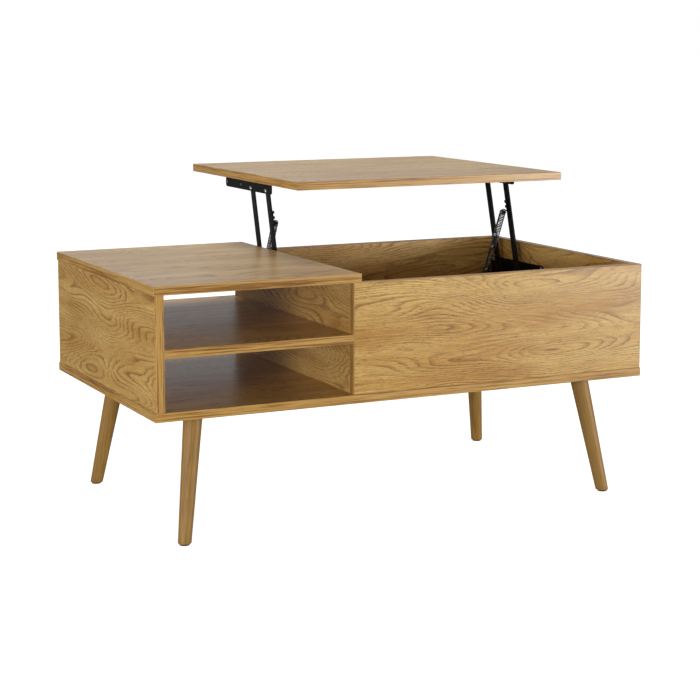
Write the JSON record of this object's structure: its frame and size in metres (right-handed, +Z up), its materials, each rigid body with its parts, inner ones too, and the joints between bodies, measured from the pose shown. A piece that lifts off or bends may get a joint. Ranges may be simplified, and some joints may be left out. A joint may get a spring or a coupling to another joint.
{
  "type": "lift top coffee table",
  "caption": "Oak-look coffee table on splayed round legs, with an open shelf bay and a storage box under a top that lifts up and back on sprung arms.",
  "frame": {"origin": "on the floor under the middle of the carcass, the boards' common centre", "axes": "+X along the width from the shelf bay to the lift-top box, +Y to the user's side, towards which the top lifts, +Z up"},
  "size_m": [1, 0.845, 0.608],
  "materials": {
    "board_oak": "satin oak-print laminate on 16 mm particle board, with matching edge band",
    "leg_wood": "turned hardwood, satin lacquer",
    "dowel_beech": "fluted beech",
    "black_steel": "black powder coat",
    "zinc_steel": "bright zinc plate",
    "zinc_cast": "die-cast zinc",
    "spring_steel": "oiled black spring wire",
    "glide_plastic": "moulded plastic"
  },
  "bodies": {
    "carcass": {"bottom_panel": "board_oak", "left_side_panel": "board_oak", "divider_panel": "board_oak", "right_side_panel": "board_oak", "front_panel": "board_oak", "back_panel": "board_oak", "fixed_top": "board_oak", "shelf": "board_oak", "leg_front_left": "leg_wood", "leg_front_right": "leg_wood", "leg_back_left": "leg_wood", "leg_back_right": "leg_wood", "leg_plates": "zinc_steel", "leg_bolts": "zinc_steel", "leg_plate_screws": "zinc_steel", "foot_glides": "glide_plastic", "cam_bolts": "zinc_steel", "cam_locks": "zinc_cast", "panel_dowels": "dowel_beech", "corner_dowels": "dowel_beech", "shelf_dowels": "dowel_beech", "base_bracket_left": "black_steel", "base_bracket_right": "black_steel", "base_bracket_screws": "zinc_steel", "base_rivets": "zinc_steel", "base_washers": "zinc_steel", "spring_anchors": "zinc_steel"},
    "lid": {"lift_top": "board_oak", "top_bracket_left": "black_steel", "top_bracket_right": "black_steel", "lid_screws": "zinc_steel", "flange_rivets": "zinc_steel", "top_rivets": "zinc_steel", "top_washers": "zinc_steel"},
    "front_arm_left": {"front_arm_left": "black_steel", "hook_plate_left": "black_steel"},
    "rear_arm_left": {"rear_arm_left": "black_steel"},
    "front_arm_right": {"front_arm_right": "black_steel", "hook_plate_right": "black_steel"},
    "rear_arm_right": {"rear_arm_right": "black_steel"},
    "spring_lower_left": {"spring_lower_eye_left": "spring_steel", "spring_coil_left": "spring_steel"},
    "spring_upper_left": {"spring_upper_eye_left": "spring_steel"},
    "spring_lower_right": {"spring_lower_eye_right": "spring_steel", "spring_coil_right": "spring_steel"},
    "spring_upper_right": {"spring_upper_eye_right": "spring_steel"}
  },
  "joints": [
    {"name": "lift", "type": "hinge", "parent": "carcass", "child": "front_arm_left", "pos_m": [-0.088, 0.1165, 0.34874], "axis": [1, 0, 0], "range_deg": [0, 84.49]},
    {"name": "front_arm_right_pivot", "type": "hinge", "parent": "carcass", "child": "front_arm_right", "pos_m": [0.464, 0.1165, 0.34874], "axis": [1, 0, 0], "range_deg": [-1, 85.49]},
    {"name": "rear_arm_left_pivot", "type": "hinge", "parent": "carcass", "child": "rear_arm_left", "pos_m": [-0.088, 0.1935, 0.34874], "axis": [1, 0, 0], "range_deg": [-1, 85.49]},
    {"name": "rear_arm_right_pivot", "type": "hinge", "parent": "carcass", "child": "rear_arm_right", "pos_m": [0.464, 0.1935, 0.34874], "axis": [1, 0, 0], "range_deg": [-1, 85.49]},
    {"name": "lid_pivot", "type": "hinge", "parent": "front_arm_left", "child": "lid", "pos_m": [-0.088, 0.1821, 0.5775], "axis": [1, 0, 0], "range_deg": [-85.49, 1]},
    {"name": "spring_anchor_left", "type": "hinge", "parent": "carcass", "child": "spring_lower_left", "pos_m": [-0.078, 0.253, 0.35174], "axis": [1, 0, 0], "range_deg": [-1, 52.03]},
    {"name": "spring_stretch_left", "type": "slide", "parent": "spring_lower_left", "child": "spring_upper_left", "axis": [0, -0.4476, 0.8942], "range_m": [-0.001, 0.12204], "deforming": ["spring_coil_left"]},
    {"name": "spring_anchor_right", "type": "hinge", "parent": "carcass", "child": "spring_lower_right", "pos_m": [0.454, 0.253, 0.35174], "axis": [1, 0, 0], "range_deg": [-1, 52.03]},
    {"name": "spring_stretch_right", "type": "slide", "parent": "spring_lower_right", "child": "spring_upper_right", "axis": [0, -0.4476, 0.8942], "range_m": [-0.001, 0.12204], "deforming": ["spring_coil_right"]}
  ],
  "couplings": [
    {"joint": "front_arm_right_pivot", "follows": "lift", "ratio": 1},
    {"joint": "rear_arm_left_pivot", "follows": "lift", "ratio": 1},
    {"joint": "rear_arm_right_pivot", "follows": "lift", "ratio": 1},
    {"joint": "lid_pivot", "follows": "lift", "ratio": -1},
    {"joint": "spring_anchor_left", "follows": "lift", "ratio": 0.60398},
    {"joint": "spring_stretch_left", "follows": "lift", "m_per_rad": 0.082081},
    {"joint": "spring_anchor_right", "follows": "lift", "ratio": 0.60398},
    {"joint": "spring_stretch_right", "follows": "lift", "m_per_rad": 0.082081}
  ]
}
